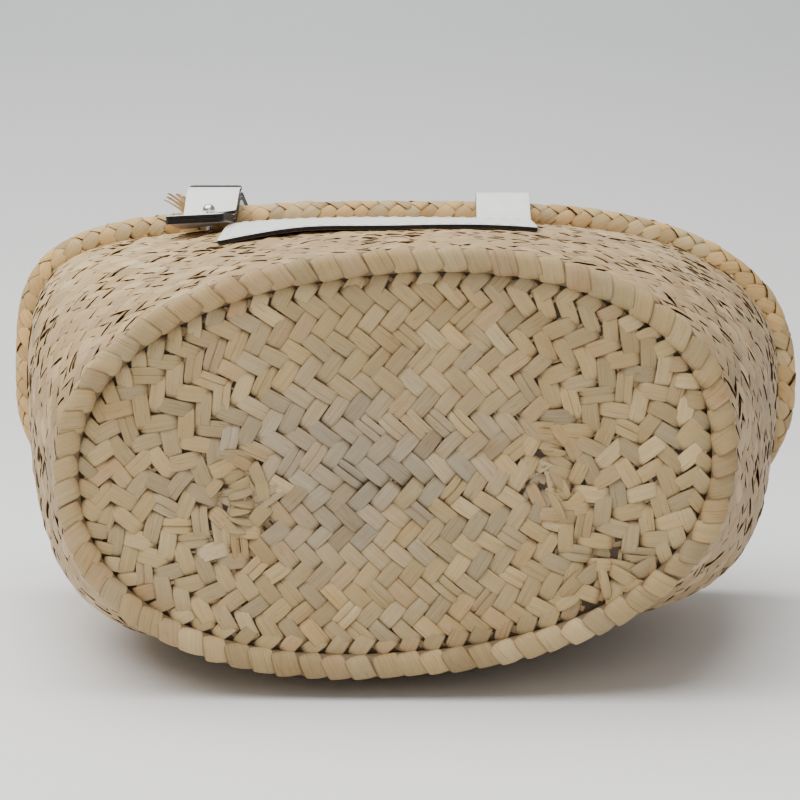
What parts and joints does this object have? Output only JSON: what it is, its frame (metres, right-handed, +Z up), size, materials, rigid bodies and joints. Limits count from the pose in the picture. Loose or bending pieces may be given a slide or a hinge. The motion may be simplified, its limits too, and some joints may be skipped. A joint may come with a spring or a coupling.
{
  "type": "beach bag",
  "caption": "Woven palm-leaf beach bag with an oval base, flared wall, braided mouth rim, white leather patch and two folding strap handles.",
  "frame": {"origin": "under the middle of the oval foot, on the plane the bag stands on", "axes": "+Z up to the mouth, -Y towards the front with the leather patch, +X to the right seen from the front"},
  "size_m": [0.3952, 0.2032, 0.4183],
  "materials": {
    "palm_leaf": "dry palm leaf strips plaited in a twill, matt with a fine lengthwise grain",
    "white_leather": "smooth white leather with black painted edges",
    "white_thread": "waxed white sewing thread",
    "bright_steel": "polished"
  },
  "bodies": {
    "basket": {"woven_base": "palm_leaf", "base_edge_welt": "palm_leaf", "base_edge_lacing": "palm_leaf", "base_closing_knot": "palm_leaf", "woven_wall": "palm_leaf", "mouth_rim_braid": "palm_leaf", "front_panel": "white_leather", "front_riser_lining": "white_leather", "front_strap_end": "white_leather", "front_keeper_tab": "white_leather", "back_left_strap_end": "white_leather", "back_left_keeper_tab": "white_leather", "back_right_strap_end": "white_leather", "back_right_keeper_tab": "white_leather", "front_panel_stitching": "white_thread", "dome_studs": "bright_steel", "stud_washers": "bright_steel"},
    "front_handle": {"front_handle": "white_leather"},
    "back_handle": {"back_handle": "white_leather"},
    "front_tail": {"front_strap_tail": "white_leather"}
  },
  "joints": [
    {"name": "front_handle_fold", "type": "hinge", "parent": "basket", "child": "front_handle", "pos_m": [0, -0.1025, 0.2475], "axis": [1, 0, 0], "range_deg": [-10, 170]},
    {"name": "back_handle_fold", "type": "hinge", "parent": "basket", "child": "back_handle", "pos_m": [0, 0.1025, 0.2475], "axis": [-1, 0, 0], "range_deg": [-10, 170]},
    {"name": "front_tail_lift", "type": "hinge", "parent": "basket", "child": "front_tail", "pos_m": [-0.095, -0.089, 0.2028], "axis": [-1, 0, 0], "range_deg": [-5, 75]}
  ]
}
